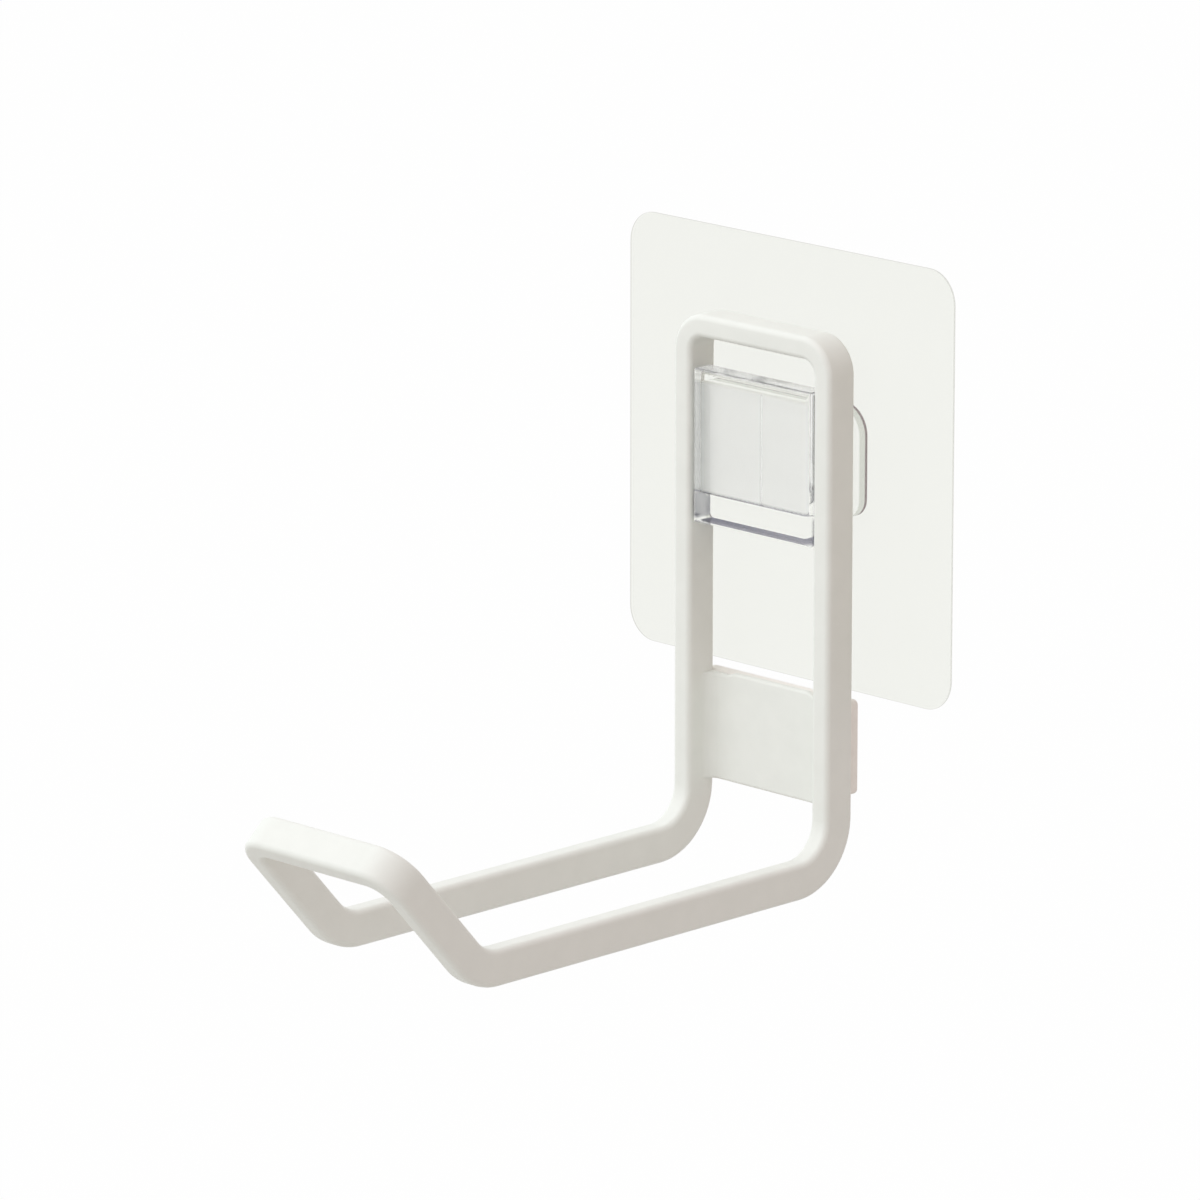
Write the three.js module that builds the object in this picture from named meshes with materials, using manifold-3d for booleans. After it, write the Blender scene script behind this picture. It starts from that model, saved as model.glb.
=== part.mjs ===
// Adhesive hook: a clear film with a moulded holder, and a white bent-bar hook that lifts out of it.
// Millimetres. The origin is the centre of the film's adhesive face. +X is right, +Y runs into the wall
// and +Z is up, so the hook reaches out towards -Y.
import * as THREE from 'three';
import { mergeVertices } from 'three/addons/utils/BufferGeometryUtils.js';
import Module from 'manifold-3d';

// Film and its layers, counted outwards from the wall
const FILM_SIZE = 80;
const FILM_CORNER_RADIUS = 6;
const FILM_THICKNESS = 0.4;
const ADHESIVE_THICKNESS = 0.3;
const ADHESIVE_INSET = 0.4;
const BOND_THICKNESS = 0.2;
const BOND_INSET = 0.6;

// Bar of the hook loop
const LOOP_WIDTH = 38.8;
const LOOP_HEIGHT = 101.1;
const BAR_WIDTH = 4.2;
const BAR_DEPTH = 6.8;
const BAR_EDGE_RADIUS = 1.1;
const LOOP_CORNER_RADIUS = 7;
const BACK_BEND_INNER_RADIUS = 6.5;
const ARM_LENGTH = 74.9;
const FRONT_BEND_INNER_RADIUS = 6.5;
const TIP_ANGLE = THREE.MathUtils.degToRad(48.2);
const TIP_LENGTH = 26.9;

// Plates between the uprights
const PLATE_HEIGHT = 20.5;
const PLATE_THICKNESS = 1.5;
const PLATE_EDGE_RADIUS = 0.6;
const LOOP_RISE_ABOVE_PLATE = 13;
const PLATE_PITCH = 53.6;
const WELD_END_INSET = 1.2;
const WELD_GAP = 0.06;

// Foam pad behind the lower plate
const PAD_SIDE_INSET = 1.3;
const PAD_TOP_INSET = 0.5;
const PAD_BOTTOM_INSET = 2.5;
const PAD_CORNER_RADIUS = 1;
const PAD_FILM_CLEARANCE = 0.3;
const PAD_TAPE_THICKNESS = 0.2;
const PAD_TAPE_INSET = 0.5;

// Holder
const SLOT_FLOOR_HEIGHT = -7.6;
const HOLDER_BASE_THICKNESS = 2.4;
const HOLDER_FLOOR_THICKNESS = 4.9;
const LIP_RISE_ABOVE_PLATE = 3;
const LIP_EDGE_RADIUS = 0.8;
const LIP_SIDE_RADIUS = 1.5;
const LIP_LEAD_IN = 0.8;
const EAR_OVERHANG = 4.7;
const EAR_TOP_RADIUS = 5.5;
const EAR_BOTTOM_RADIUS = 3.5;
const EAR_ROOT_RADIUS = 1.5;
const EAR_EDGE_ROUND = 0.6;
const TONGUE_CORNER_RADIUS = 2;
const SLOT_ROOT_RADIUS = 0.25;
const CRUSH_RIB_WIDTH = 0.3;
const CRUSH_RIB_HEIGHT = 0.15;

// Clearances between the frame and the holder
const BEHIND_FRAME_CLEARANCE = 0.4;
const PLATE_FRONT_CLEARANCE = 0.3;
const LIP_SIDE_CLEARANCE = 0.3;

// Steps of round stretches, and how near points are that count as one
const OUTLINE_STEPS = 6;
const SMALL_ROUND_STEPS = 3;
const CORNER_STEPS = 7;
const BACK_BEND_STEPS = 10;
const FRONT_BEND_STEPS = 6;
const MERGE_DISTANCE = 1e-4;

// Depths in front of the wall: each layer starts where the one behind it ends
const filmBack = ADHESIVE_THICKNESS;
const filmFront = filmBack + FILM_THICKNESS;
const holderBack = filmFront + BOND_THICKNESS;
const holderBaseFront = holderBack + HOLDER_BASE_THICKNESS;
const frameBack = holderBaseFront + BEHIND_FRAME_CLEARANCE;
const plateFront = frameBack + PLATE_THICKNESS;
const frameFront = frameBack + BAR_DEPTH;
const lipBack = plateFront + PLATE_FRONT_CLEARANCE;
const padFront = frameBack - PAD_TAPE_THICKNESS;
const padBack = filmFront + PAD_FILM_CLEARANCE;

// Heights: the upper plate stands on the slot's floor and carries the whole frame
const hangerPlateTop = SLOT_FLOOR_HEIGHT + PLATE_HEIGHT;
const loopTop = hangerPlateTop + LOOP_RISE_ABOVE_PLATE;
const stayPlateBottom = SLOT_FLOOR_HEIGHT - PLATE_PITCH;
const holderBottom = SLOT_FLOOR_HEIGHT - HOLDER_FLOOR_THICKNESS;
const lipTop = hangerPlateTop + LIP_RISE_ABOVE_PLATE;

// Widths across the loop
const plateHalfWidth = LOOP_WIDTH / 2 - BAR_WIDTH;
const lipHalfWidth = plateHalfWidth - LIP_SIDE_CLEARANCE;
const earHalfWidth = lipHalfWidth + EAR_OVERHANG;

const wasm = await Module();
wasm.setup();

// Materials
const whiteSteel = { color: 0xeceeea, roughness: 0.55, metalness: 0.1 };
const clearPlastic = { color: 0xf2f5f4, roughness: 0.08, metalness: 0, transparent: true, opacity: 0.35 };
const clearFilm = { color: 0xf1f2ee, roughness: 0.25, metalness: 0, transparent: true, opacity: 0.45 };
const clearGlue = { color: 0xf4f4f0, roughness: 0.4, metalness: 0, transparent: true, opacity: 0.4 };
const whiteFoam = { color: 0xf0efeb, roughness: 0.9, metalness: 0 };

function namedMesh(name, geometry, finish) {
  const mesh = new THREE.Mesh(geometry, new THREE.MeshStandardMaterial(finish));
  mesh.name = name;
  return mesh;
}

// The directions from a corner back and ahead along its edges, and half the angle between them.
function cornerTurn(places, index) {
  const here = places[index];
  const back = places.at(index - 1).clone().sub(here).normalize();
  const ahead = places[(index + 1) % places.length].clone().sub(here).normalize();
  return { back, ahead, halfAngle: Math.acos(back.dot(ahead)) / 2 };
}

// A closed outline through corners { x, y, round }, each sharp or with its own rounding radius. Two
// roundings that would meet on a short edge shrink to share it.
function roundedOutline(corners, steps = OUTLINE_STEPS) {
  const places = corners.map((corner) => new THREE.Vector2(corner.x, corner.y));
  const turns = places.map((place, index) => cornerTurn(places, index));
  const reaches = corners.map((corner, index) => (corner.round ?? 0) / Math.tan(turns[index].halfAngle));
  const edgeShares = places.map((place, index) => {
    const next = (index + 1) % places.length;
    return Math.min(1, place.distanceTo(places[next]) / (reaches[index] + reaches[next]));
  });
  const points = [];
  corners.forEach((corner, index) => {
    if (!corner.round) {
      points.push(places[index]);
      return;
    }
    const { back, ahead, halfAngle } = turns[index];
    const round = corner.round * Math.min(edgeShares.at(index - 1), edgeShares[index]);
    const inwards = back.clone().add(ahead).normalize();
    const centre = places[index].clone().addScaledVector(inwards, round / Math.sin(halfAngle));
    const turn = (Math.PI - 2 * halfAngle) * Math.sign(ahead.cross(back));
    for (let i = 0; i <= steps; i++) {
      const arm = inwards.clone().multiplyScalar(-round);
      points.push(arm.rotateAround(new THREE.Vector2(), turn * (i / steps - 0.5)).add(centre));
    }
  });
  return new THREE.Shape(points);
}

function roundedRectangle(width, height, round, centreHeight = 0, steps = OUTLINE_STEPS) {
  const right = width / 2;
  const top = centreHeight + height / 2;
  const bottom = centreHeight - height / 2;
  return roundedOutline([
    { x: -right, y: bottom, round },
    { x: right, y: bottom, round },
    { x: right, y: top, round },
    { x: -right, y: top, round },
  ], steps);
}

// An outline drawn in x and z, as a slab between two depths in front of the wall.
function slab(shape, backDepth, frontDepth) {
  const depth = frontDepth - backDepth;
  const geometry = new THREE.ExtrudeGeometry(shape, { depth, bevelEnabled: false });
  return geometry.rotateX(Math.PI / 2).translate(0, -backDepth, 0);
}

// A profile drawn in y and z, as a bar across x.
function acrossLoop(shape, halfWidth) {
  const depth = 2 * halfWidth;
  const geometry = new THREE.ExtrudeGeometry(shape, { depth, bevelEnabled: false });
  const axes = [new THREE.Vector3(0, 1, 0), new THREE.Vector3(0, 0, 1), new THREE.Vector3(1, 0, 0)];
  return geometry.applyMatrix4(new THREE.Matrix4().makeBasis(...axes)).translate(-halfWidth, 0, 0);
}

// A section drawn in x and y, as a column between two heights.
function column(shape, bottom, top) {
  const depth = top - bottom;
  const geometry = new THREE.ExtrudeGeometry(shape, { depth, bevelEnabled: false });
  return geometry.translate(0, 0, bottom);
}

// Solids for joins and cuts
function toSolid(geometry) {
  const bare = geometry.clone();
  bare.deleteAttribute('normal');
  bare.deleteAttribute('uv');
  const merged = mergeVertices(bare, MERGE_DISTANCE);
  return new wasm.Manifold(new wasm.Mesh({
    numProp: 3,
    vertProperties: new Float32Array(merged.attributes.position.array),
    triVerts: new Uint32Array(merged.index.array),
  }));
}

function toGeometry(solid) {
  const mesh = solid.getMesh();
  const geometry = new THREE.BufferGeometry();
  geometry.setAttribute('position', new THREE.BufferAttribute(new Float32Array(mesh.vertProperties), 3));
  geometry.setIndex(new THREE.BufferAttribute(new Uint32Array(mesh.triVerts), 1));
  geometry.computeVertexNormals();
  return geometry;
}

// Film, adhesive and bond
function filmSheet() {
  const outline = roundedRectangle(FILM_SIZE, FILM_SIZE, FILM_CORNER_RADIUS);
  return namedMesh('film_sheet', slab(outline, filmBack, filmFront), clearFilm);
}

function adhesiveLayer() {
  const size = FILM_SIZE - 2 * ADHESIVE_INSET;
  const outline = roundedRectangle(size, size, FILM_CORNER_RADIUS - ADHESIVE_INSET);
  return namedMesh('adhesive_layer', slab(outline, 0, filmBack), clearGlue);
}

// The holder's outline on the film: two ears beside a narrower tongue, drawn in by an inset.
function holderOutline(inset) {
  const tongue = lipHalfWidth - inset;
  const ear = earHalfWidth - inset;
  const top = hangerPlateTop - inset;
  const earBottom = SLOT_FLOOR_HEIGHT + inset;
  const bottom = holderBottom + inset;
  return roundedOutline([
    { x: -tongue, y: bottom, round: TONGUE_CORNER_RADIUS },
    { x: tongue, y: bottom, round: TONGUE_CORNER_RADIUS },
    { x: tongue, y: earBottom, round: EAR_ROOT_RADIUS },
    { x: ear, y: earBottom, round: EAR_BOTTOM_RADIUS },
    { x: ear, y: top, round: EAR_TOP_RADIUS },
    { x: -ear, y: top, round: EAR_TOP_RADIUS },
    { x: -ear, y: earBottom, round: EAR_BOTTOM_RADIUS },
    { x: -tongue, y: earBottom, round: EAR_ROOT_RADIUS },
  ]);
}

function holderBond() {
  return namedMesh('holder_bond', slab(holderOutline(BOND_INSET), filmFront, holderBack), clearGlue);
}

// Clear holder: base with ears, floor and lip, with a crush rib inside the slot
function holderBase() {
  const bevelled = new THREE.ExtrudeGeometry(holderOutline(0), {
    depth: HOLDER_BASE_THICKNESS - EAR_EDGE_ROUND,
    bevelThickness: EAR_EDGE_ROUND,
    bevelSize: EAR_EDGE_ROUND,
    bevelOffset: -EAR_EDGE_ROUND,
    bevelSegments: SMALL_ROUND_STEPS,
  });
  const rounded = toSolid(bevelled.rotateX(Math.PI / 2).translate(0, -holderBack, 0));
  const width = 2 * (earHalfWidth + EAR_EDGE_ROUND);
  const height = 2 * (hangerPlateTop - holderBottom);
  const backBevel = new THREE.BoxGeometry(width, 2 * EAR_EDGE_ROUND, height);
  return rounded.subtract(toSolid(backBevel.translate(0, EAR_EDGE_ROUND - holderBack, 0)));
}

function holderHook() {
  const profile = roundedOutline([
    { x: -holderBack, y: holderBottom },
    { x: -frameFront, y: holderBottom, round: LIP_EDGE_RADIUS },
    { x: -frameFront, y: lipTop, round: LIP_EDGE_RADIUS },
    { x: -lipBack - LIP_LEAD_IN, y: lipTop, round: SLOT_ROOT_RADIUS },
    { x: -lipBack, y: lipTop - LIP_LEAD_IN, round: SLOT_ROOT_RADIUS },
    { x: -lipBack, y: SLOT_FLOOR_HEIGHT, round: SLOT_ROOT_RADIUS },
    { x: -holderBaseFront, y: SLOT_FLOOR_HEIGHT, round: SLOT_ROOT_RADIUS },
    { x: -holderBaseFront, y: hangerPlateTop - EAR_EDGE_ROUND },
    { x: -holderBack, y: hangerPlateTop - EAR_EDGE_ROUND },
  ], SMALL_ROUND_STEPS);
  const plan = roundedOutline([
    { x: -lipHalfWidth, y: 0 },
    { x: -lipHalfWidth, y: -frameFront, round: LIP_SIDE_RADIUS },
    { x: lipHalfWidth, y: -frameFront, round: LIP_SIDE_RADIUS },
    { x: lipHalfWidth, y: 0 },
  ], SMALL_ROUND_STEPS);
  const side = toSolid(acrossLoop(profile, lipHalfWidth));
  return side.intersect(toSolid(column(plan, holderBottom, lipTop)));
}

function crushRib() {
  const height = hangerPlateTop - SLOT_FLOOR_HEIGHT;
  const reach = CRUSH_RIB_HEIGHT + LIP_EDGE_RADIUS;
  const rib = new THREE.BoxGeometry(CRUSH_RIB_WIDTH, reach, height);
  const middle = SLOT_FLOOR_HEIGHT + height / 2;
  return toSolid(rib.translate(0, CRUSH_RIB_HEIGHT - lipBack - reach / 2, middle));
}

function filmHolder() {
  const solid = holderBase().add(holderHook()).add(crushRib());
  return namedMesh('film_holder', toGeometry(solid), clearPlastic);
}

// The loop's bar follows a flat ring that is bent twice about x. Along the ring's length, the middle of
// the bar runs down the upright, round the back bend, along the arm, round the front bend and up the tip.
const backBendRadius = BACK_BEND_INNER_RADIUS + BAR_DEPTH / 2;
const frontBendRadius = FRONT_BEND_INNER_RADIUS + BAR_DEPTH / 2;
const uprightLength = LOOP_HEIGHT - BAR_DEPTH / 2 - backBendRadius;
const backBendEnd = uprightLength + backBendRadius * Math.PI / 2;
const armEnd = backBendEnd + ARM_LENGTH;
const frontBendEnd = armEnd + frontBendRadius * TIP_ANGLE;
const ringLength = frontBendEnd + TIP_LENGTH;

// The heading turns from straight down, by a right angle and then by the tip's angle.
function headingAt(length) {
  const backTurn = THREE.MathUtils.clamp((length - uprightLength) / backBendRadius, 0, Math.PI / 2);
  const frontTurn = THREE.MathUtils.clamp((length - armEnd) / frontBendRadius, 0, TIP_ANGLE);
  return -Math.PI / 2 - backTurn - frontTurn;
}

// The middle of the bar at a length along the ring, as y and z.
function middleAt(length) {
  const place = new THREE.Vector2(-(frameBack + frameFront) / 2, loopTop);
  const runStraight = (run) => {
    const heading = headingAt(run.from);
    const step = Math.min(length, run.to) - run.from;
    place.add(new THREE.Vector2(Math.cos(heading), Math.sin(heading)).multiplyScalar(step));
  };
  const runBend = (run) => {
    const start = headingAt(run.from);
    const end = headingAt(Math.min(length, run.to));
    place.x += run.radius * (Math.sin(start) - Math.sin(end));
    place.y += run.radius * (Math.cos(end) - Math.cos(start));
  };
  const runs = [
    { from: 0, to: uprightLength },
    { from: uprightLength, to: backBendEnd, radius: backBendRadius },
    { from: backBendEnd, to: armEnd },
    { from: armEnd, to: frontBendEnd, radius: frontBendRadius },
    { from: frontBendEnd, to: ringLength },
  ];
  for (const run of runs) {
    if (length <= run.from) continue;
    if (run.radius) runBend(run);
    else runStraight(run);
  }
  return place;
}

// A point of the flat ring (across, length, outward from the bar's middle) in its bent place.
function bentPoint(across, length, outward) {
  const heading = headingAt(length);
  const middle = middleAt(length);
  const y = middle.x - outward * Math.sin(heading);
  const z = middle.y + outward * Math.cos(heading);
  return new THREE.Vector3(across, y, z);
}

// Stations round the flat ring: each has a place (across, length) and the direction out of the ring.
function ringStations() {
  const round = LOOP_CORNER_RADIUS - BAR_WIDTH / 2;
  const side = (LOOP_WIDTH - BAR_WIDTH) / 2;
  const top = BAR_WIDTH / 2;
  const bottom = ringLength - BAR_WIDTH / 2;
  const bendLengths = [];
  for (let i = 0; i <= BACK_BEND_STEPS; i++) {
    bendLengths.push(uprightLength + (backBendEnd - uprightLength) * i / BACK_BEND_STEPS);
  }
  for (let i = 0; i <= FRONT_BEND_STEPS; i++) {
    bendLengths.push(armEnd + (frontBendEnd - armEnd) * i / FRONT_BEND_STEPS);
  }
  const stations = [];
  const addCorner = (acrossCentre, lengthCentre, startAngle) => {
    for (let i = 0; i <= CORNER_STEPS; i++) {
      const angle = startAngle + (Math.PI / 2) * i / CORNER_STEPS;
      const out = new THREE.Vector2(Math.cos(angle), Math.sin(angle));
      stations.push({ across: acrossCentre + round * out.x, length: lengthCentre + round * out.y, out });
    }
  };
  const addSide = (across, lengths) => {
    const out = new THREE.Vector2(Math.sign(across), 0);
    for (const length of lengths) stations.push({ across, length, out });
  };
  addCorner(side - round, top + round, -Math.PI / 2);
  addSide(side, bendLengths);
  addCorner(side - round, bottom - round, 0);
  addCorner(round - side, bottom - round, Math.PI / 2);
  addSide(-side, bendLengths.toReversed());
  addCorner(round - side, top + round, Math.PI);
  return stations;
}

// The bar's section: points (out of the ring, outward from the bar's middle) with rounded edges.
function barSection() {
  return roundedRectangle(BAR_WIDTH, BAR_DEPTH, BAR_EDGE_RADIUS, 0, SMALL_ROUND_STEPS).getPoints();
}

function hookLoop() {
  const stations = ringStations();
  const section = barSection();
  const positions = [];
  for (const station of stations) {
    for (const point of section) {
      const across = station.across + point.x * station.out.x;
      const length = station.length + point.x * station.out.y;
      positions.push(...bentPoint(across, length, point.y).toArray());
    }
  }
  const sides = section.length;
  const triangles = [];
  for (let i = 0; i < stations.length; i++) {
    const next = (i + 1) % stations.length;
    for (let j = 0; j < sides; j++) {
      const beside = (j + 1) % sides;
      const a = i * sides + j;
      const b = i * sides + beside;
      const c = next * sides + j;
      const d = next * sides + beside;
      triangles.push(a, c, b, b, c, d);
    }
  }
  const geometry = new THREE.BufferGeometry();
  geometry.setAttribute('position', new THREE.Float32BufferAttribute(positions, 3));
  geometry.setIndex(triangles);
  geometry.computeVertexNormals();
  return namedMesh('hook_loop', geometry, whiteSteel);
}

// Both plates stand between the uprights, flush with the bar's back.
function plate(name, bottom) {
  const top = bottom + PLATE_HEIGHT;
  const profile = roundedOutline([
    { x: -plateFront, y: bottom, round: PLATE_EDGE_RADIUS },
    { x: -frameBack, y: bottom, round: PLATE_EDGE_RADIUS },
    { x: -frameBack, y: top, round: PLATE_EDGE_RADIUS },
    { x: -plateFront, y: top, round: PLATE_EDGE_RADIUS },
  ], SMALL_ROUND_STEPS);
  return namedMesh(name, acrossLoop(profile, plateHalfWidth), whiteSteel);
}

// A weld fills the groove between a plate's end and the round back edge of the upright beside it.
function weldSeam(name, plateBottom, side) {
  const edgeCentre = new THREE.Vector2(plateHalfWidth + BAR_EDGE_RADIUS, -frameBack - BAR_EDGE_RADIUS);
  const round = BAR_EDGE_RADIUS + WELD_GAP;
  const start = Math.acos(BAR_EDGE_RADIUS / round);
  const groove = [new THREE.Vector2(plateHalfWidth, -frameBack)];
  for (let i = 0; i <= SMALL_ROUND_STEPS; i++) {
    const angle = Math.PI - start - (Math.PI / 2 - 2 * start) * i / SMALL_ROUND_STEPS;
    const arm = new THREE.Vector2(Math.cos(angle), Math.sin(angle)).multiplyScalar(round);
    groove.push(arm.add(edgeCentre));
  }
  const bottom = plateBottom + WELD_END_INSET;
  const top = plateBottom + PLATE_HEIGHT - WELD_END_INSET;
  const geometry = column(new THREE.Shape(groove), bottom, top);
  if (side < 0) geometry.rotateY(Math.PI).translate(0, 0, bottom + top);
  return namedMesh(name, geometry, whiteSteel);
}

// Foam pad and its tape
function padOutline(inset) {
  const width = LOOP_WIDTH - 2 * (PAD_SIDE_INSET + inset);
  const height = PLATE_HEIGHT - PAD_TOP_INSET - PAD_BOTTOM_INSET - 2 * inset;
  const middle = stayPlateBottom + PAD_BOTTOM_INSET + inset + height / 2;
  return roundedRectangle(width, height, PAD_CORNER_RADIUS, middle);
}

function foamPad() {
  return namedMesh('foam_pad', slab(padOutline(0), padBack, padFront), whiteFoam);
}

function padTape() {
  const outline = padOutline(PAD_TAPE_INSET);
  return namedMesh('pad_tape', slab(outline, padFront, frameBack), clearGlue);
}

const wallSide = new THREE.Group();
wallSide.add(adhesiveLayer(), filmSheet(), holderBond(), filmHolder());

const hookFrame = new THREE.Group();
hookFrame.add(hookLoop());
hookFrame.add(plate('hanger_plate', SLOT_FLOOR_HEIGHT), plate('stay_plate', stayPlateBottom));
for (const [plateName, bottom] of [['hanger', SLOT_FLOOR_HEIGHT], ['stay', stayPlateBottom]]) {
  hookFrame.add(weldSeam(`${plateName}_weld_right`, bottom, 1));
  hookFrame.add(weldSeam(`${plateName}_weld_left`, bottom, -1));
}
hookFrame.add(padTape(), foamPad());

const adhesiveHook = new THREE.Group();
adhesiveHook.add(wallSide, hookFrame);

export default adhesiveHook;
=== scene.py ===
# Adhesive hook: the finished look of a clear film holder and a white bent-bar hook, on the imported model.
# Metres. The wall is the plane y = 0, the hook reaches out towards -y, and z is up.
import bmesh
import bpy
import math
from mathutils import Matrix, Vector


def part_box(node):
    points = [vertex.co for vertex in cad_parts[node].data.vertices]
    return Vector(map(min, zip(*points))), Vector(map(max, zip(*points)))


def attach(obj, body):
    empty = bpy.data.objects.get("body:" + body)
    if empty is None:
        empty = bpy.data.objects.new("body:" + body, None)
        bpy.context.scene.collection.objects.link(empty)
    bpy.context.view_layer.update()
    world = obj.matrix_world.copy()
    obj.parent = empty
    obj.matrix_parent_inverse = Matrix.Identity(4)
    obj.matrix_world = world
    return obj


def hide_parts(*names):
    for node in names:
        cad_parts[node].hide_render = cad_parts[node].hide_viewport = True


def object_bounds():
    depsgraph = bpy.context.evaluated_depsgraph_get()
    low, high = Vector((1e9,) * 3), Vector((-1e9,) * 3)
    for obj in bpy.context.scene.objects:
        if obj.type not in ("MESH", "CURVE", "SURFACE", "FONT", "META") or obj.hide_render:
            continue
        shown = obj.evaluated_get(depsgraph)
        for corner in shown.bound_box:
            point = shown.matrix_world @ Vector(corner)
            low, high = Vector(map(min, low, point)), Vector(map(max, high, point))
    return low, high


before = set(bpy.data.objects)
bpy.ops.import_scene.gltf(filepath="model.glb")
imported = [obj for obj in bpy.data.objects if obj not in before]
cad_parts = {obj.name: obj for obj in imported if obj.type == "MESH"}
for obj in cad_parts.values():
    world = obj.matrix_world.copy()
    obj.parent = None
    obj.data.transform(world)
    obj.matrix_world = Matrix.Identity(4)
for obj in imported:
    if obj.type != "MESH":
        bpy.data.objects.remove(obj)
cad_low, cad_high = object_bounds()

MM = 0.001
WALL_BODY = "wall_mount"
HOOK_BODY = "hook_frame"

# Sizes of the bent bar that the model's boxes don't give
BAR_EDGE_RADIUS = 1.1 * MM
LOOP_CORNER_RADIUS = 7 * MM
BACK_BEND_INNER_RADIUS = 6.5 * MM
FRONT_BEND_INNER_RADIUS = 6.5 * MM
ARM_LENGTH = 74.9 * MM
TIP_LENGTH = 26.9 * MM
TIP_ANGLE = math.radians(48.2)

# Sizes of the clear holder that the model's boxes don't give
BEHIND_FRAME_CLEARANCE = 0.4 * MM
PLATE_FRONT_CLEARANCE = 0.3 * MM
LIP_SIDE_CLEARANCE = 0.3 * MM
LIP_EDGE_RADIUS = 0.8 * MM
LIP_SIDE_RADIUS = 1.5 * MM
LIP_CORNER_RADIUS = 0.9 * MM
LIP_LEAD_IN = 0.8 * MM
EAR_TOP_RADIUS = 5.5 * MM
EAR_BOTTOM_RADIUS = 3.5 * MM
EAR_ROOT_RADIUS = 1.5 * MM
EAR_EDGE_ROUND = 0.6 * MM
TONGUE_CORNER_RADIUS = 2 * MM
SLOT_ROOT_RADIUS = 0.25 * MM
RIB_WIDTH = 0.3 * MM
RIB_HEIGHT = 0.15 * MM
CUT_MARGIN = 1 * MM
PLASTIC_IOR = 1.49

# Film layers keep a hair's breadth between them, so that no two clear faces lie in one plane
LAYER_GAP = 0.02 * MM
FILM_CORNER_RADIUS = 6 * MM
GLUE_CORNER_RADIUS = 5.6 * MM
BOND_INSET = 0.6 * MM
FILM_EDGE_ROUND = 0.15 * MM

# Plates and pad
PLATE_EDGE_RADIUS = 0.6 * MM
STAY_FILLET_RADIUS = 2.2 * MM
STAY_DIP_DEPTH = 0.6 * MM
STAY_DIP_LENGTH = 6.3 * MM
STAY_DIP_RAMP = STAY_DIP_LENGTH / 3
PLATE_END_SUNK = 0.3 * MM
PLATE_END_STEP = 0.35 * MM
PAD_CORNER_RADIUS = 1 * MM
PAD_EDGE_ROUND = 0.5 * MM

# Round stretches: the least radius, the steps, and the angle from which an edge stays sharp
LEAST_ROUND = 0.05 * MM
ARC_STEPS = 12
EDGE_STEPS = 6
BEND_STEPS = 28
CORNER_STEPS = 16
SHARP_ANGLE = math.radians(40)

# Camera, at the photograph's viewing angle
CAMERA_AZIMUTH = math.radians(45.0)
CAMERA_ELEVATION = math.radians(14.3)
CAMERA_DISTANCE = 1.6
CAMERA_AIM = Vector((-0.0113, -0.0371, -0.0216))
CAMERA_LENS = 270

# Studio floor
FLOOR_DROP = 0.12
FLOOR_SIZE = 6
FLOOR_COLOUR = (0.62, 0.6, 0.57)
FLOOR_WHITE_SHARE = 0.985

# Light: one large soft lamp above the front, and a soft field that is brightest on the left
KEY_DIRECTION = (-0.24, -0.56, 0.79)
KEY_DISTANCE = 1.5
KEY_SIZE = 1.3
KEY_POWER = 6
KEY_COLOUR = (0.98, 0.92, 0.95)
FIELD_DIRECTION = (-0.9, -0.42, 0.04)
FIELD_SHADE = (0.53, 0.42, 0.39)
FIELD_LIGHT = (1.19, 1.28, 1.3)
CLEAR_BOUNCES = 24

# Tones, each pair from the deepest to the palest
COAT_TONES = ((0.833, 0.848, 0.806), (0.858, 0.872, 0.83))
# The hanger plate's coat is paler than the bars' coat: painted light, for the light that reaches it through
# the clear lip
PLATE_PAINTED_LIGHT_TONES = ((0.94, 0.96, 0.92), (0.96, 0.98, 0.94))
FOAM_TONES = ((0.92, 0.89, 0.845), (0.97, 0.945, 0.9))
FILM_TINT = (0.949, 0.953, 0.932)
# Painted shade through the film's cut edges
FILM_EDGE_PAINTED_SHADE = (0.8, 0.8, 0.78)
FILM_GLOSS = 0.02
GLUE_TINT = (0.998, 0.998, 0.997)
# Painted shade through the glue's cut edges
GLUE_EDGE_PAINTED_SHADE = (0.97, 0.97, 0.96)
GLUE_GLOSS = 0.002
SHEET_TONE = (0.86, 0.87, 0.83)
LAMP_TINT = (0.97, 0.97, 0.97)

# The clear plastic's own tint, then painted shade by place for the dark surroundings seen through its walls,
# each pair from dark streaks to pale ones
CLEAR_TINT = (1.0, 1.0, 0.998)
HIGH_SIDE_PAINTED_SHADES = ((0.955, 0.955, 0.965), (0.99, 0.99, 0.995))
LOW_SIDE_PAINTED_SHADES = ((0.3, 0.3, 0.33), (0.56, 0.56, 0.58))
BOTTOM_PAINTED_SHADES = ((0.16, 0.16, 0.22), (0.5, 0.49, 0.55))
TOP_PAINTED_SHADES = ((0.92, 0.92, 0.91), (1.0, 1.0, 0.99))
# Painted shade on the ears' walls, and a darker painted line along the film for its shade and the dark bond
# line
EAR_PAINTED_SHADE = (0.76, 0.77, 0.74)
EAR_BACK_PAINTED_SHADE = (0.36, 0.31, 0.32)
BOTTOM_STREAK_SHARE = 0.5
STREAK_STRETCH = (0.6, 6, 0.6)
WALL_FROST = 0.18

# Where those tints start and where they are full, from the face that they belong to
BOTTOM_BAND_START = 0.3 * MM
BOTTOM_BAND_FULL = 0.1 * MM
TOP_BAND_START = 1.2 * MM
TOP_BAND_FULL = 0.9 * MM
EAR_BACK_START = 0.7 * MM
EAR_BACK_FULL = 0.5 * MM
BOTTOM_CLEAR_FRONT = 2 * MM

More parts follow.
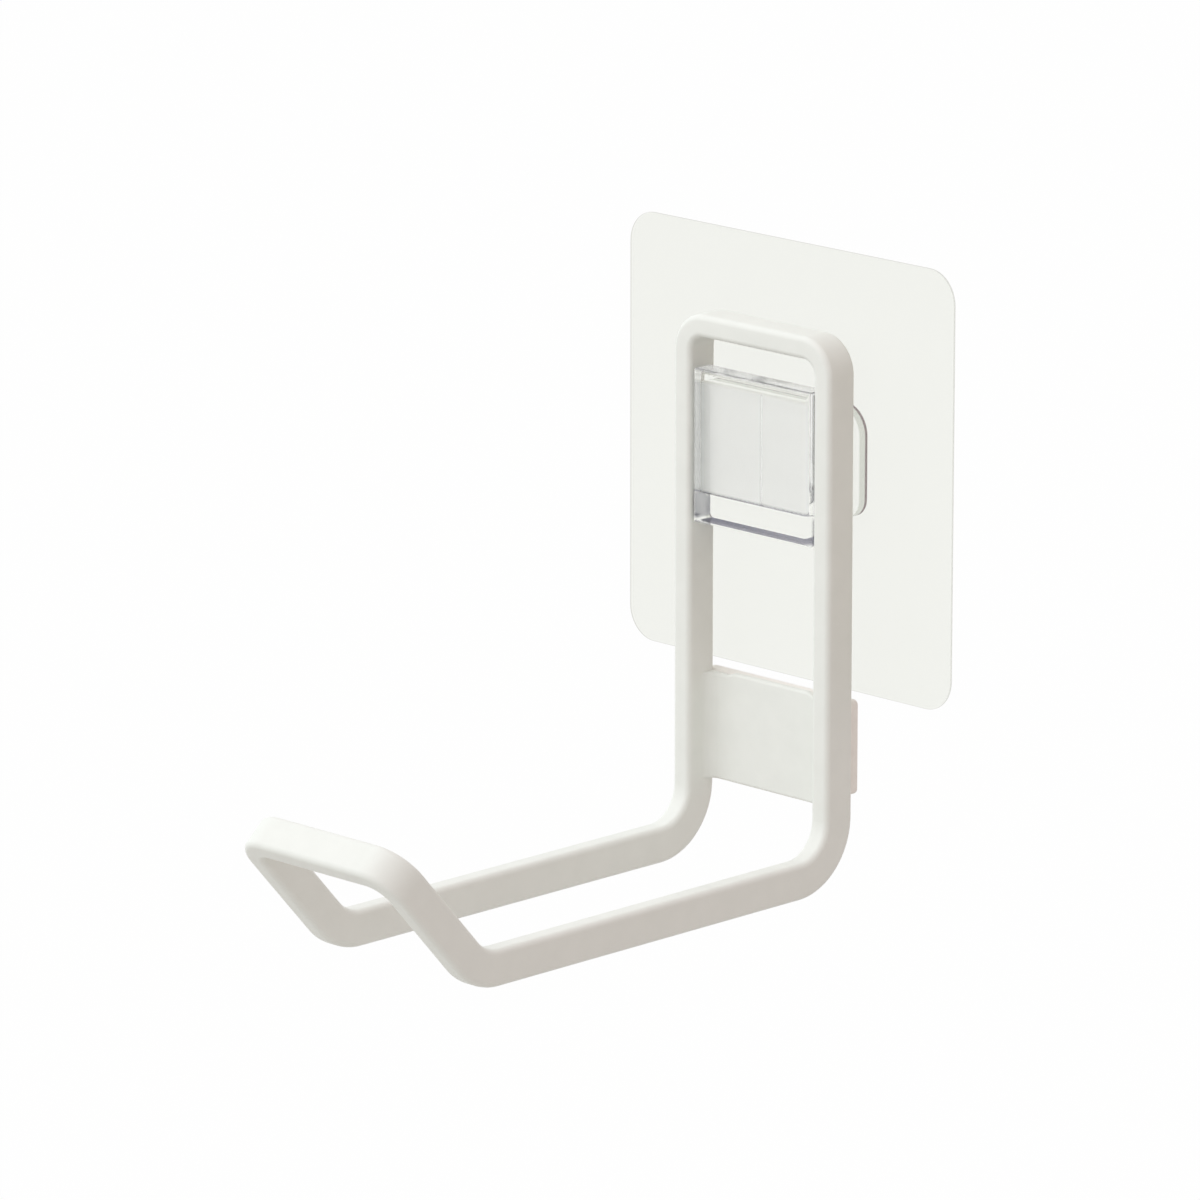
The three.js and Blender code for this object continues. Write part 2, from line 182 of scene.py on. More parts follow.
# Places that the model gives, as depths in front of the wall and heights
film_low, film_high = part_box("film_sheet")
glue_low, glue_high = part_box("adhesive_layer")
bond_low, bond_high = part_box("holder_bond")
holder_low, holder_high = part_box("film_holder")
loop_low, loop_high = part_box("hook_loop")
hanger_low, hanger_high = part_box("hanger_plate")
stay_low, stay_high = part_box("stay_plate")
pad_low, pad_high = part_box("foam_pad")
frame_back = -hanger_high.y
frame_front = -holder_low.y
plate_front = -hanger_low.y
plate_half_width = hanger_high.x
slot_floor = hanger_low.z
bar_width = loop_high.x - plate_half_width
bar_depth = frame_front - frame_back
holder_back = -holder_high.y
base_front = frame_back - BEHIND_FRAME_CLEARANCE
lip_back = plate_front + PLATE_FRONT_CLEARANCE
lip_half_width = plate_half_width - LIP_SIDE_CLEARANCE
ear_half_width = holder_high.x


# Outlines: corners are (u, v, rounding radius)

def corner_turn(corners, index):
    here = Vector(corners[index][:2])
    back = (Vector(corners[index - 1][:2]) - here).normalized()
    ahead = (Vector(corners[(index + 1) % len(corners)][:2]) - here).normalized()
    half_angle = math.acos(max(-1, min(1, back.dot(ahead)))) / 2
    return here, back, ahead, half_angle


def rounded_outline(corners, steps=ARC_STEPS):
    points = []
    for index, corner in enumerate(corners):
        here, back, ahead, half_angle = corner_turn(corners, index)
        radius = corner[2]
        if radius <= 0:
            points.append(here)
            continue
        inwards = (back + ahead).normalized()
        centre = here + inwards * (radius / math.sin(half_angle))
        side = math.copysign(1, ahead.x * back.y - ahead.y * back.x)
        turn = (math.pi - 2 * half_angle) * side
        for step in range(steps + 1):
            arm = -inwards * radius
            arm.rotate(Matrix.Rotation(turn * (step / steps - 0.5), 2))
            points.append(centre + arm)
    return points


def inset_corners(corners, distance):
    """The same corners drawn inwards, for an outline that runs anticlockwise."""
    moved = []
    for index, corner in enumerate(corners):
        here, back, ahead, _ = corner_turn(corners, index)
        normal_in = Vector((back.y, -back.x))
        normal_out = Vector((-ahead.y, ahead.x))
        shift = (normal_in + normal_out) / (1 + normal_in.dot(normal_out))
        convex = ahead.x * back.y - ahead.y * back.x > 0
        radius = corner[2] - distance if convex else corner[2] + distance
        if corner[2] <= 0:
            radius = 0
        place = here + shift * distance
        moved.append((place.x, place.y, max(radius, LEAST_ROUND if corner[2] > 0 else 0)))
    return moved


def rectangle(half_width, bottom, top, radius):
    return [
        (-half_width, bottom, radius),
        (half_width, bottom, radius),
        (half_width, top, radius),
        (-half_width, top, radius),
    ]


# Meshes

def link_piece(name, mesh):
    piece = bpy.data.objects.new(name, mesh)
    bpy.context.scene.collection.objects.link(piece)
    return piece


def rings_piece(name, rings, closed=False):
    """Rings of points joined by quads, with the ends capped or joined to each other."""
    mesh = bpy.data.meshes.new(name)
    build = bmesh.new()
    rows = [[build.verts.new(point) for point in ring] for ring in rings]
    count = len(rings[0])
    pairs = list(zip(rows, rows[1:]))
    if closed:
        pairs.append((rows[-1], rows[0]))
    for row, following in pairs:
        for i in range(count):
            j = (i + 1) % count
            build.faces.new((row[i], row[j], following[j], following[i]))
    if not closed:
        build.faces.new(rows[0])
        build.faces.new(rows[-1])
    bmesh.ops.recalc_face_normals(build, faces=build.faces)
    build.to_mesh(mesh)
    build.free()
    return link_piece(name, mesh)


def depth_place(u, v, w):
    """An outline drawn in x and z, at a depth in front of the wall."""
    return Vector((u, -w, v))


def across_place(u, v, w):
    """A profile drawn in y and z, at a place across x."""
    return Vector((w, u, v))


def height_place(u, v, w):
    """A section drawn in x and y, at a height."""
    return Vector((u, v, w))


def extruded_piece(name, corners, start, end, place, start_round=0, end_round=0):
    """An outline pushed from start to end, with either end's edge rounded."""
    levels = []
    for step in range(EDGE_STEPS + 1 if start_round else 1):
        angle = math.pi / 2 * step / EDGE_STEPS
        levels.append((start_round * (1 - math.sin(angle)), start + start_round * (1 - math.cos(angle))))
    for step in range(EDGE_STEPS, -1, -1) if end_round else [0]:
        angle = math.pi / 2 * step / EDGE_STEPS
        levels.append((end_round * (1 - math.sin(angle)), end - end_round * (1 - math.cos(angle))))
    rings = []
    for inset, level in levels:
        outline = rounded_outline(inset_corners(corners, inset))
        rings.append([place(point.x, point.y, level) for point in outline])
    return rings_piece(name, rings)


def combine(piece, other, operation):
    """Joins, cuts or intersects piece with other, and removes other."""
    change = piece.modifiers.new("combine", "BOOLEAN")
    change.operation = operation
    change.solver = "EXACT"
    change.object = other
    evaluated = piece.evaluated_get(bpy.context.evaluated_depsgraph_get())
    mesh = bpy.data.meshes.new_from_object(evaluated)
    piece.modifiers.clear()
    piece.data = mesh
    bpy.data.objects.remove(other)


def smooth(piece):
    """Smooth shading that leaves the flat faces flat and the sharp edges sharp."""
    for face in piece.data.polygons:
        face.use_smooth = True
    piece.data.set_sharp_from_angle(angle=SHARP_ANGLE)
    weighted = piece.modifiers.new("flat_faces", "WEIGHTED_NORMAL")
    weighted.weight = 100
    weighted.keep_sharp = True


def coat_piece(piece, material):
    piece.data.materials.clear()
    piece.data.materials.append(material)


def place_piece(piece, material, body, slot, *nodes):
    coat_piece(piece, material)
    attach(piece, body)
    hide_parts(*nodes)


# Materials

class Nodes:
    """The node tree of a material or world, with short calls to add and join nodes."""

    def __init__(self, owner, output_kind):
        self.owner = owner
        owner.use_nodes = True
        self.tree = owner.node_tree
        self.tree.nodes.clear()
        self.output = self.add(output_kind)

    def add(self, kind, **settings):
        node = self.tree.nodes.new(kind)
        for key, value in settings.items():
            setattr(node, key, value)
        return node

    def join(self, source, target):
        self.tree.links.new(source, target)

    def feed(self, value, target):
        """Joins a socket to target, or sets a plain value there."""
        if isinstance(value, bpy.types.NodeSocket):
            self.join(value, target)
        elif isinstance(value, tuple):
            target.default_value = (*value, 1)
        else:
            target.default_value = value

    def place(self):
        return self.add("ShaderNodeTexCoord").outputs["Object"]

    def part_of(self, vector, axis):
        split = self.add("ShaderNodeSeparateXYZ")
        self.join(vector, split.inputs[0])
        return split.outputs[axis]

    def along(self, axis):
        return self.part_of(self.place(), axis)

    def facing(self, axis):
        """How far a face's direction lies along an axis."""
        return self.part_of(self.add("ShaderNodeTexCoord").outputs["Normal"], axis)

    def maths(self, operation, first, second=0, third=0):
        node = self.add("ShaderNodeMath", operation=operation)
        self.feed(first, node.inputs[0])
        self.feed(second, node.inputs[1])
        self.feed(third, node.inputs[2])
        return node.outputs[0]

    def size_of(self, value):
        return self.maths("ABSOLUTE", value)

    def noise(self, scale, detail=3, stretch=(1, 1, 1)):
        stretched = self.add("ShaderNodeVectorMath", operation="MULTIPLY")
        self.join(self.place(), stretched.inputs[0])
        stretched.inputs[1].default_value = stretch
        node = self.add("ShaderNodeTexNoise")
        node.inputs["Scale"].default_value = scale
        node.inputs["Detail"].default_value = detail
        self.join(stretched.outputs[0], node.inputs["Vector"])
        return node.outputs["Fac"]

    def span(self, value, low, high, from_low=0.3, from_high=0.7):
        node = self.add("ShaderNodeMapRange")
        self.join(value, node.inputs["Value"])
        node.inputs["From Min"].default_value = from_low
        node.inputs["From Max"].default_value = from_high
        node.inputs["To Min"].default_value = low
        node.inputs["To Max"].default_value = high
        return node.outputs["Result"]

    def ramp(self, value, start, full):
        """0 where value is at start, and 1 where it is at full."""
        return self.span(value, 0, 1, start, full)

    def facing_ramp(self, axis, start, full):
        """1 on faces that look along an axis, either way."""
        return self.ramp(self.size_of(self.facing(axis)), start, full)

    def both(self, first, second):
        return self.maths("MULTIPLY", first, second)

    def either(self, first, second):
        return self.maths("MAXIMUM", first, second)

    def blend_colours(self, share, first, second):
        node = self.add("ShaderNodeMix", data_type="RGBA")
        self.join(share, node.inputs[0])
        self.feed(first, node.inputs[6])
        self.feed(second, node.inputs[7])
        return node.outputs[2]

    def blend_shaders(self, share, first, second):
        node = self.add("ShaderNodeMixShader")
        self.feed(share, node.inputs[0])
        self.join(first, node.inputs[1])
        self.join(second, node.inputs[2])
        return node.outputs[0]

    def bump(self, height, strength, distance, after=None):
        node = self.add("ShaderNodeBump")
        node.inputs["Strength"].default_value = strength
        node.inputs["Distance"].default_value = distance
        self.join(height, node.inputs["Height"])
        if after:
            self.join(after, node.inputs["Normal"])
        return node.outputs["Normal"]

    def seen_directly(self):
        """1 for rays that come from the camera or by way of gloss or clear plastic."""
        path = self.add("ShaderNodeLightPath")
        share = path.outputs["Is Camera Ray"]
        for kind in ("Is Glossy Ray", "Is Transmission Ray"):
            share = self.either(share, path.outputs[kind])
        return share

    def finish(self, shader):
        self.join(shader, self.output.inputs["Surface"])
        return self.owner


def material_nodes(name):
    return Nodes(bpy.data.materials.new(name), "ShaderNodeOutputMaterial")


def white_coat(name, deep, pale):
    """Satin white powder coat: fine orange peel, a faint grain, and a slight unevenness of tone and gloss."""
    nodes = material_nodes(name)
    shader = nodes.add("ShaderNodeBsdfPrincipled")
    tone = nodes.span(nodes.noise(scale=220, detail=4), 0, 1)
    nodes.join(nodes.blend_colours(tone, deep, pale), shader.inputs["Base Color"])
    satin = nodes.span(nodes.noise(scale=900, detail=3), low=0.42, high=0.54)
    nodes.join(satin, shader.inputs["Roughness"])
    peel = nodes.bump(nodes.noise(scale=1400, detail=2), strength=0.1, distance=0.05 * MM)
    grain = nodes.bump(nodes.noise(scale=7000, detail=2), strength=0.1, distance=0.01 * MM, after=peel)
    nodes.join(grain, shader.inputs["Normal"])
    shader.inputs["Specular IOR Level"].default_value = 0.4
    return nodes.finish(shader.outputs[0])


# Painted shade on the lip's side walls: dark streaks below the slot floor, pale ones above it
def side_painted_shade(nodes, streaks, under_slot):
    high = nodes.blend_colours(streaks, *HIGH_SIDE_PAINTED_SHADES)
    low = nodes.blend_colours(streaks, *LOW_SIDE_PAINTED_SHADES)
    return nodes.blend_colours(under_slot, high, low)


# Painted shade on the holder's bottom face, for the dark seen through it
def bottom_painted_shade(nodes, streaks):
    """Darkest at the left end, as the photograph shows it."""
    across = nodes.span(nodes.along("X"), 0, 1 - BOTTOM_STREAK_SHARE, -lip_half_width, lip_half_width)
    share = nodes.maths("MULTIPLY_ADD", streaks, BOTTOM_STREAK_SHARE, across)
    return nodes.blend_colours(share, *BOTTOM_PAINTED_SHADES)


def on_bottom(nodes):
    """The holder's bottom face, behind its clear front edge."""
    height = nodes.along("Z")
    at_bottom = nodes.ramp(height, holder_low.z + BOTTOM_BAND_START, holder_low.z + BOTTOM_BAND_FULL)
    behind_front = nodes.ramp(nodes.along("Y"), BOTTOM_CLEAR_FRONT - frame_front, -lip_back)
    return nodes.both(nodes.both(at_bottom, behind_front), nodes.facing_ramp("Z", start=0.85, full=0.97))


# Where the top face's painted shade streaks go
def on_top(nodes):
    at_top = nodes.ramp(nodes.along("Z"), holder_high.z - TOP_BAND_START, holder_high.z - TOP_BAND_FULL)
    return nodes.both(at_top, nodes.facing_ramp("Z", start=0.4, full=0.7))


def ear_painted_shade(nodes):
    """The ears' walls carry painted shade, darker along the film, where it also stands for the dark bond
    line.
    """
    at_back = nodes.ramp(nodes.along("Y"), -holder_back - EAR_BACK_START, -holder_back - EAR_BACK_FULL)
    return nodes.blend_colours(at_back, EAR_PAINTED_SHADE, EAR_BACK_PAINTED_SHADE)


def clear_plastic():
    """Clear moulded plastic. Its walls carry painted shade by place, as streaked tints, and lamp light passes
    through.
    """
    nodes = material_nodes("clear_moulded_plastic")
    glass = nodes.add("ShaderNodeBsdfGlass")
    glass.inputs["IOR"].default_value = PLASTIC_IOR
    streaks = nodes.span(nodes.noise(scale=90, detail=3, stretch=STREAK_STRETCH), 0, 1)
    in_front = nodes.ramp(nodes.along("Y"), -base_front, -base_front - LIP_EDGE_RADIUS)
    under_slot = nodes.ramp(nodes.along("Z"), slot_floor + LIP_EDGE_RADIUS, slot_floor)
    on_lip = nodes.either(in_front, under_slot)
    sides = nodes.both(on_lip, nodes.facing_ramp("X", start=0.8, full=0.95))
    edge_on = nodes.span(nodes.size_of(nodes.facing("Y")), 1, 0, from_low=0.2, from_high=0.5)
    not_in_front = nodes.span(in_front, 1, 0, 0, 1)
    ear_walls = nodes.both(edge_on, not_in_front)
    top = on_top(nodes)
    colour = nodes.blend_colours(ear_walls, CLEAR_TINT, ear_painted_shade(nodes))
    colour = nodes.blend_colours(top, colour, nodes.blend_colours(streaks, *TOP_PAINTED_SHADES))
    colour = nodes.blend_colours(sides, colour, side_painted_shade(nodes, streaks, under_slot))
    colour = nodes.blend_colours(on_bottom(nodes), colour, bottom_painted_shade(nodes, streaks))
    nodes.join(colour, glass.inputs["Color"])
    frost = nodes.span(nodes.either(top, sides), 0, WALL_FROST, 0, 1)
    polish = nodes.span(nodes.noise(scale=400, detail=2), low=0, high=0.03)
    nodes.join(nodes.either(frost, polish), glass.inputs["Roughness"])
    ripple = nodes.bump(nodes.noise(scale=180, detail=1), strength=0.05, distance=0.1 * MM)
    nodes.join(ripple, glass.inputs["Normal"])
    return nodes.finish(let_lamps_through(nodes, glass.outputs[0], LAMP_TINT))


def let_lamps_through(nodes, shader, colour):
    clear = nodes.add("ShaderNodeBsdfTransparent")
    clear.inputs["Color"].default_value = (*colour, 1)
    shadow = nodes.add("ShaderNodeLightPath").outputs["Is Shadow Ray"]
    return nodes.blend_shaders(shadow, shader, clear.outputs[0])


def clear_sheet(name, tint, painted_edge_shade, gloss_share):
    """A thin clear sheet: a tint through its faces, painted shade through its cut edges, and a soft gloss."""
    nodes = material_nodes(name)
    clear = nodes.add("ShaderNodeBsdfTransparent")
    faces = nodes.facing_ramp("Y", start=0.5, full=0.95)
    nodes.join(nodes.blend_colours(faces, painted_edge_shade, tint), clear.inputs["Color"])
    body = nodes.add("ShaderNodeBsdfPrincipled")
    body.inputs["Base Color"].default_value = (*SHEET_TONE, 1)
    polish = nodes.span(nodes.noise(scale=300, detail=3), low=0.14, high=0.24)
    nodes.join(polish, body.inputs["Roughness"])
    wave = nodes.bump(nodes.noise(scale=90, detail=2), strength=0.05, distance=0.2 * MM)
    nodes.join(wave, body.inputs["Normal"])
    patches = nodes.noise(scale=60, detail=3)
    gloss = nodes.span(patches, low=gloss_share * 0.8, high=gloss_share * 1.2)
    return nodes.finish(nodes.blend_shaders(gloss, clear.outputs[0], body.outputs[0]))


def white_foam():
    """Matt closed-cell foam with fine cells and a faint mottle."""
    nodes = material_nodes("white_cell_foam")
    shader = nodes.add("ShaderNodeBsdfPrincipled")
    mottle = nodes.span(nodes.noise(scale=500, detail=3), 0, 1)
    nodes.join(nodes.blend_colours(mottle, *FOAM_TONES), shader.inputs["Base Color"])
    cells = nodes.add("ShaderNodeTexVoronoi")
    cells.inputs["Scale"].default_value = 2600
    nodes.join(nodes.place(), cells.inputs["Vector"])
    pits = nodes.bump(cells.outputs["Distance"], strength=0.4, distance=0.08 * MM)
    nodes.join(pits, shader.inputs["Normal"])
    matt = nodes.span(nodes.noise(scale=900, detail=2), low=0.8, high=0.95)
    nodes.join(matt, shader.inputs["Roughness"])
    return nodes.finish(shader.outputs[0])


# The bent loop: a flat ring, bent twice about x

back_bend_radius = BACK_BEND_INNER_RADIUS + bar_depth / 2
front_bend_radius = FRONT_BEND_INNER_RADIUS + bar_depth / 2
upright_length = loop_high.z - loop_low.z - bar_depth / 2 - back_bend_radius
back_bend_end = upright_length + back_bend_radius * math.pi / 2
arm_end = back_bend_end + ARM_LENGTH
front_bend_end = arm_end + front_bend_radius * TIP_ANGLE
ring_length = front_bend_end + TIP_LENGTH


def clamp(value, low, high):
    return max(low, min(high, value))


def heading_at(length):
    back_turn = clamp((length - upright_length) / back_bend_radius, 0, math.pi / 2)
    front_turn = clamp((length - arm_end) / front_bend_radius, 0, TIP_ANGLE)
    return -math.pi / 2 - back_turn - front_turn


def middle_at(length):
    """The middle of the bar, as y and z, at a length along the ring."""
    y = -(frame_back + frame_front) / 2
    z = loop_high.z
    runs = [
        (0, upright_length, 0),
        (upright_length, back_bend_end, back_bend_radius),
        (back_bend_end, arm_end, 0),
        (arm_end, front_bend_end, front_bend_radius),
        (front_bend_end, ring_length, 0),
    ]
    for start, end, radius in runs:
        if length <= start:
            break
        first = heading_at(start)
        last = heading_at(min(length, end))
        if radius:
            y += radius * (math.sin(first) - math.sin(last))
            z += radius * (math.cos(last) - math.cos(first))
        else:
            y += math.cos(first) * (min(length, end) - start)
            z += math.sin(first) * (min(length, end) - start)
    return y, z


def bent_point(across, length, outward):
    heading = heading_at(length)
    y, z = middle_at(length)
    return Vector((across, y - outward * math.sin(heading), z + outward * math.cos(heading)))


def ring_stations():
    """Places (across, length) round the flat ring, each with its direction out of the ring."""
    radius = LOOP_CORNER_RADIUS - bar_width / 2
    side = loop_high.x - bar_width / 2
    top = bar_width / 2
    bottom = ring_length - bar_width / 2
    lengths = []
    for start, end in ((upright_length, back_bend_end), (arm_end, front_bend_end)):
        lengths += [start + (end - start) * i / BEND_STEPS for i in range(BEND_STEPS + 1)]
    stations = []

    def add_corner(across, length, start_angle):
        for i in range(CORNER_STEPS + 1):
            angle = start_angle + math.pi / 2 * i / CORNER_STEPS
            out = Vector((math.cos(angle), math.sin(angle)))
            stations.append((across + radius * out.x, length + radius * out.y, out))

    def add_side(across, places):
        for length in places:
            stations.append((across, length, Vector((math.copysign(1, across), 0))))

    add_corner(side - radius, top + radius, -math.pi / 2)
    add_side(side, lengths)
    add_corner(side - radius, bottom - radius, 0)
    add_corner(radius - side, bottom - radius, math.pi / 2)
    add_side(-side, reversed(lengths))
    add_corner(radius - side, top + radius, math.pi)
    return stations


def loop_bar(material):
    half_depth = bar_depth / 2
    section = rounded_outline(rectangle(bar_width / 2, -half_depth, half_depth, BAR_EDGE_RADIUS), EDGE_STEPS)
    rings = []
    for across, length, out in ring_stations():
        ring = [bent_point(across + p.x * out.x, length + p.x * out.y, p.y) for p in section]
        rings.append(ring)
    piece = rings_piece("loop_bar", rings, closed=True)
    smooth(piece)
    place_piece(piece, material, HOOK_BODY, "white_coat", "hook_loop")


# Plates

def ease(share):
    share = clamp(share, 0, 1)
    return share * share * (3 - 2 * share)


def coated_plate(name, low, high, fillet, dip, material, node):
    """A plate between the uprights. Its coat may swell into a fillet and its top edge dip at each end."""
    half = high.x
    places = [half + PLATE_END_SUNK]
    for i in range(ARC_STEPS + 1 if fillet else 1):
        places.append(half - fillet * (1 - math.cos(math.pi / 2 * i / ARC_STEPS)))
    while places[-1] > half - STAY_DIP_LENGTH:
        places.append(places[-1] - PLATE_END_STEP)
    places += [-x for x in reversed(places)]
    rings = []
    for x in places:
        end_gap = half - min(abs(x), half)
        reach = max(0, fillet - end_gap)
        front = low.y - fillet + math.sqrt(fillet * fillet - reach * reach)
        top = high.z - dip * ease((STAY_DIP_LENGTH - end_gap) / STAY_DIP_RAMP)
        corners = [
            (front, low.z, PLATE_EDGE_RADIUS),
            (high.y, low.z, PLATE_EDGE_RADIUS),
            (high.y, top, PLATE_EDGE_RADIUS),
            (front, top, PLATE_EDGE_RADIUS),
        ]
        rings.append([across_place(p.x, p.y, x) for p in rounded_outline(corners, EDGE_STEPS)])
    piece = rings_piece(name, rings)
    smooth(piece)
    place_piece(piece, material, HOOK_BODY, "white_coat", node)


# Film, glue and bond

def clear_layer(name, corners, back, front, material, slot, node):
    back += LAYER_GAP
    front -= LAYER_GAP
    piece = extruded_piece(name, corners, back, front, depth_place, end_round=FILM_EDGE_ROUND)
    place_piece(piece, material, WALL_BODY, slot, node)


def holder_corners():
    """The holder's outline on the film: two ears beside a narrower tongue."""
    top = hanger_high.z
    return [
        (-lip_half_width, holder_low.z, TONGUE_CORNER_RADIUS),
        (lip_half_width, holder_low.z, TONGUE_CORNER_RADIUS),
        (lip_half_width, slot_floor, EAR_ROOT_RADIUS),
        (ear_half_width, slot_floor, EAR_BOTTOM_RADIUS),
        (ear_half_width, top, EAR_TOP_RADIUS),
        (-ear_half_width, top, EAR_TOP_RADIUS),
        (-ear_half_width, slot_floor, EAR_BOTTOM_RADIUS),
        (-lip_half_width, slot_floor, EAR_ROOT_RADIUS),
    ]


def side_profile():
    """The holder's middle from the side, in y and z: base, slot, lip and floor."""
    base_top = hanger_high.z - EAR_EDGE_ROUND
    return [
        (-base_front, base_top, 0),
        (-base_front, slot_floor, SLOT_ROOT_RADIUS),
        (-lip_back, slot_floor, SLOT_ROOT_RADIUS),
        (-lip_back, holder_high.z - LIP_LEAD_IN, SLOT_ROOT_RADIUS),
        (-lip_back - LIP_LEAD_IN, holder_high.z, SLOT_ROOT_RADIUS),
        (-frame_front, holder_high.z, LIP_EDGE_RADIUS),
        (-frame_front, holder_low.z, LIP_EDGE_RADIUS),
        (-holder_back, holder_low.z, 0),
        (-holder_back, base_top, 0),
    ]


def lip_block():
    """The holder's middle, with its front corners rounded in plan and in front view."""
    block = extruded_piece("holder_moulding", side_profile(), -lip_half_width, lip_half_width, across_place)
    plan = [
        (-lip_half_width, -frame_front, LIP_SIDE_RADIUS),
        (lip_half_width, -frame_front, LIP_SIDE_RADIUS),
        (lip_half_width, 0, 0),
        (-lip_half_width, 0, 0),
    ]
    bottom = holder_low.z - CUT_MARGIN
    top = holder_high.z + CUT_MARGIN
    combine(block, extruded_piece("plan_column", plan, bottom, top, height_place), "INTERSECT")
    face = rectangle(lip_half_width, holder_low.z, holder_high.z, LIP_CORNER_RADIUS)
    front = frame_front + CUT_MARGIN
    combine(block, extruded_piece("face_outline", face, 0, front, depth_place), "INTERSECT")
    return block


def holder_moulding(material, bonded_material):
    """The clear holder: base with ears, floor and lip, with a crush rib inside the slot."""
    piece = lip_block()
    base = extruded_piece(
        "holder_base", holder_corners(), holder_back, base_front, depth_place, end_round=EAR_EDGE_ROUND
    )
    combine(piece, base, "UNION")
    rib_corners = rectangle(RIB_WIDTH / 2, slot_floor, hanger_high.z, RIB_HEIGHT)
    rib = extruded_piece("crush_rib", rib_corners, lip_back - RIB_HEIGHT, lip_back + RIB_HEIGHT, depth_place)
    combine(piece, rib, "UNION")
    place_piece(piece, material, WALL_BODY, "clear_plastic", "film_holder")
    piece.data.materials.append(bonded_material)
    for face in piece.data.polygons:
        on_back = face.center.y > -holder_back - LAYER_GAP
        face.material_index = 1 if on_back else 0


def foam_pad(material):
    corners = rectangle(pad_high.x, pad_low.z, pad_high.z, PAD_CORNER_RADIUS)
    piece = extruded_piece(
        "foam_pad_soft", corners, -pad_high.y, -pad_low.y, depth_place, PAD_EDGE_ROUND, PAD_EDGE_ROUND
    )
    smooth(piece)
    place_piece(piece, material, HOOK_BODY, "white_foam", "foam_pad")


# Studio

def background(nodes, colour):
    node = nodes.add("ShaderNodeBackground")
    nodes.feed(colour, node.inputs["Color"])
    return node.outputs[0]


def studio_world():
    """White to the camera and in clear plastic. As light, a soft field that falls off to one side."""
    world = bpy.data.worlds.new("studio")
    bpy.context.scene.world = world
    nodes = Nodes(world, "ShaderNodeOutputWorld")
    lean = nodes.add("ShaderNodeVectorMath", operation="DOT_PRODUCT")
    nodes.join(nodes.add("ShaderNodeTexCoord").outputs["Generated"], lean.inputs[0])
    lean.inputs[1].default_value = Vector(FIELD_DIRECTION).normalized()
    field = nodes.blend_colours(nodes.span(lean.outputs["Value"], 0, 1, -1, 1), FIELD_SHADE, FIELD_LIGHT)
    light = background(nodes, field)
    white = background(nodes, (1.0, 1.0, 1.0))
    nodes.finish(nodes.blend_shaders(nodes.seen_directly(), light, white))


def softbox(name, direction, distance, size, power, colour):
    light = bpy.data.lights.new(name, "AREA")
    light.shape = "SQUARE"
    light.size = size
    light.energy = power
    light.color = colour
    lamp = bpy.data.objects.new(name, light)
    bpy.context.scene.collection.objects.link(lamp)
    towards = Vector(direction).normalized()
    lamp.location = CAMERA_AIM + towards * distance
    lamp.rotation_euler = (-towards).to_track_quat("-Z", "Y").to_euler()


def studio_floor():
    """A plain floor, white to the camera but for a trace of the object's shadow."""
    corners = rectangle(FLOOR_SIZE / 2, -FLOOR_SIZE / 2, FLOOR_SIZE / 2, 0)
    mesh = bpy.data.meshes.new("studio_floor")
    height = cad_low.z - FLOOR_DROP
    mesh.from_pydata([height_place(u, v, height) for u, v, _ in corners], [], [(0, 1, 2, 3)])
    floor = link_piece("studio_floor", mesh)
    nodes = material_nodes("pale_floor")
    surface = nodes.add("ShaderNodeBsdfDiffuse")
    surface.inputs["Color"].default_value = (*FLOOR_COLOUR, 1)
    white = nodes.add("ShaderNodeEmission")
    share = nodes.both(nodes.seen_directly(), FLOOR_WHITE_SHARE)
    seen = nodes.blend_shaders(share, surface.outputs[0], white.outputs[0])
    floor.data.materials.append(nodes.finish(seen))


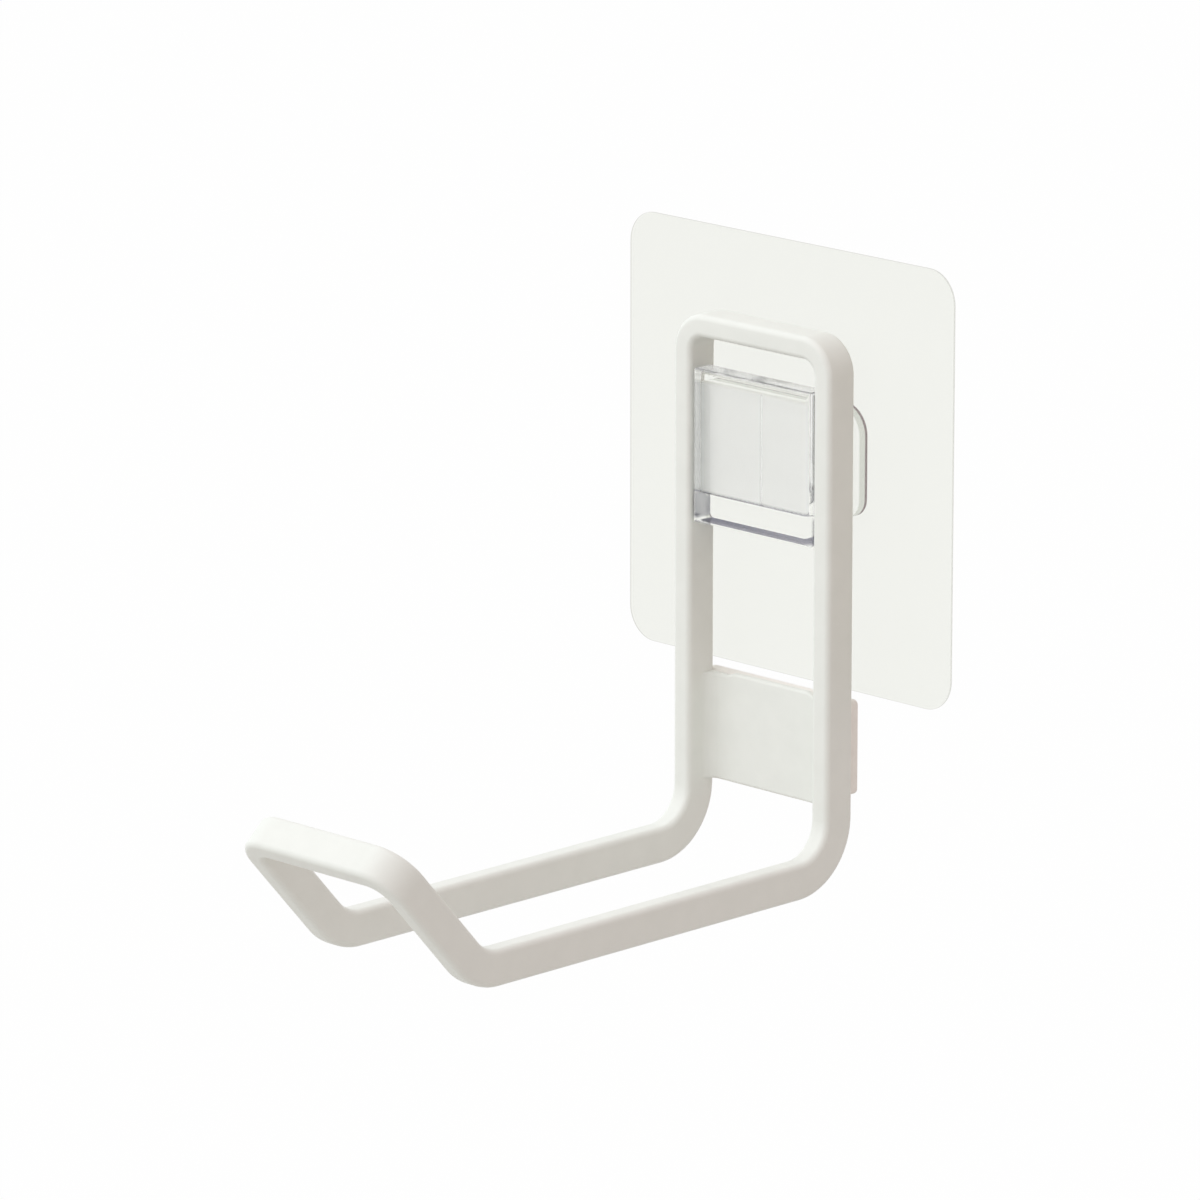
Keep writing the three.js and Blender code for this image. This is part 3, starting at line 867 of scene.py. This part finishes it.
def studio_camera():
    camera = bpy.data.cameras.new("camera")
    camera.lens = CAMERA_LENS
    viewer = bpy.data.objects.new("camera", camera)
    bpy.context.scene.collection.objects.link(viewer)
    level = math.cos(CAMERA_ELEVATION)
    across = math.sin(CAMERA_AZIMUTH) * level
    out = math.cos(CAMERA_AZIMUTH) * level
    back = Vector((across, -out, math.sin(CAMERA_ELEVATION)))
    viewer.location = CAMERA_AIM + back * CAMERA_DISTANCE
    viewer.rotation_euler = (-back).to_track_quat("-Z", "Y").to_euler()
    bpy.context.scene.camera = viewer


# The object
coat = white_coat("white_powder_coat", *COAT_TONES)
# Painted light: a paler coat for the hanger plate behind the clear lip
plate_coat = white_coat("white_coat_painted_light", *PLATE_PAINTED_LIGHT_TONES)
film = clear_sheet("clear_film", FILM_TINT, FILM_EDGE_PAINTED_SHADE, FILM_GLOSS)
glue = clear_sheet("clear_glue", GLUE_TINT, GLUE_EDGE_PAINTED_SHADE, GLUE_GLOSS)
loop_bar(coat)
coated_plate("stay_plate_coated", stay_low, stay_high, STAY_FILLET_RADIUS, STAY_DIP_DEPTH, coat, "stay_plate")
coated_plate("hanger_plate_coated", hanger_low, hanger_high, 0, 0, plate_coat, "hanger_plate")
for node in ("hanger_weld_left", "hanger_weld_right", "stay_weld_left", "stay_weld_right"):
    coat_piece(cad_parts[node], coat)
film_outline = rectangle(film_high.x, film_low.z, film_high.z, FILM_CORNER_RADIUS)
clear_layer("film_clear", film_outline, -film_high.y, -film_low.y, film, "clear_film", "film_sheet")
glue_outline = rectangle(glue_high.x, glue_low.z, glue_high.z, GLUE_CORNER_RADIUS)
clear_layer("film_glue", glue_outline, -glue_high.y, -glue_low.y, glue, "clear_glue", "adhesive_layer")
bond_outline = inset_corners(holder_corners(), BOND_INSET)
clear_layer("holder_glue", bond_outline, -bond_high.y, -bond_low.y, glue, "clear_glue", "holder_bond")
holder_moulding(clear_plastic(), glue)
foam_pad(white_foam())
coat_piece(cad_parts["pad_tape"], glue)

# The studio
studio_world()
softbox("key_light", KEY_DIRECTION, KEY_DISTANCE, KEY_SIZE, KEY_POWER, KEY_COLOUR)
studio_floor()
studio_camera()
bpy.context.scene.view_settings.view_transform = "Standard"
bpy.context.scene.cycles.max_bounces = CLEAR_BOUNCES
bpy.context.scene.cycles.glossy_bounces = CLEAR_BOUNCES
bpy.context.scene.cycles.transmission_bounces = CLEAR_BOUNCES
bpy.context.scene.cycles.transparent_max_bounces = CLEAR_BOUNCES
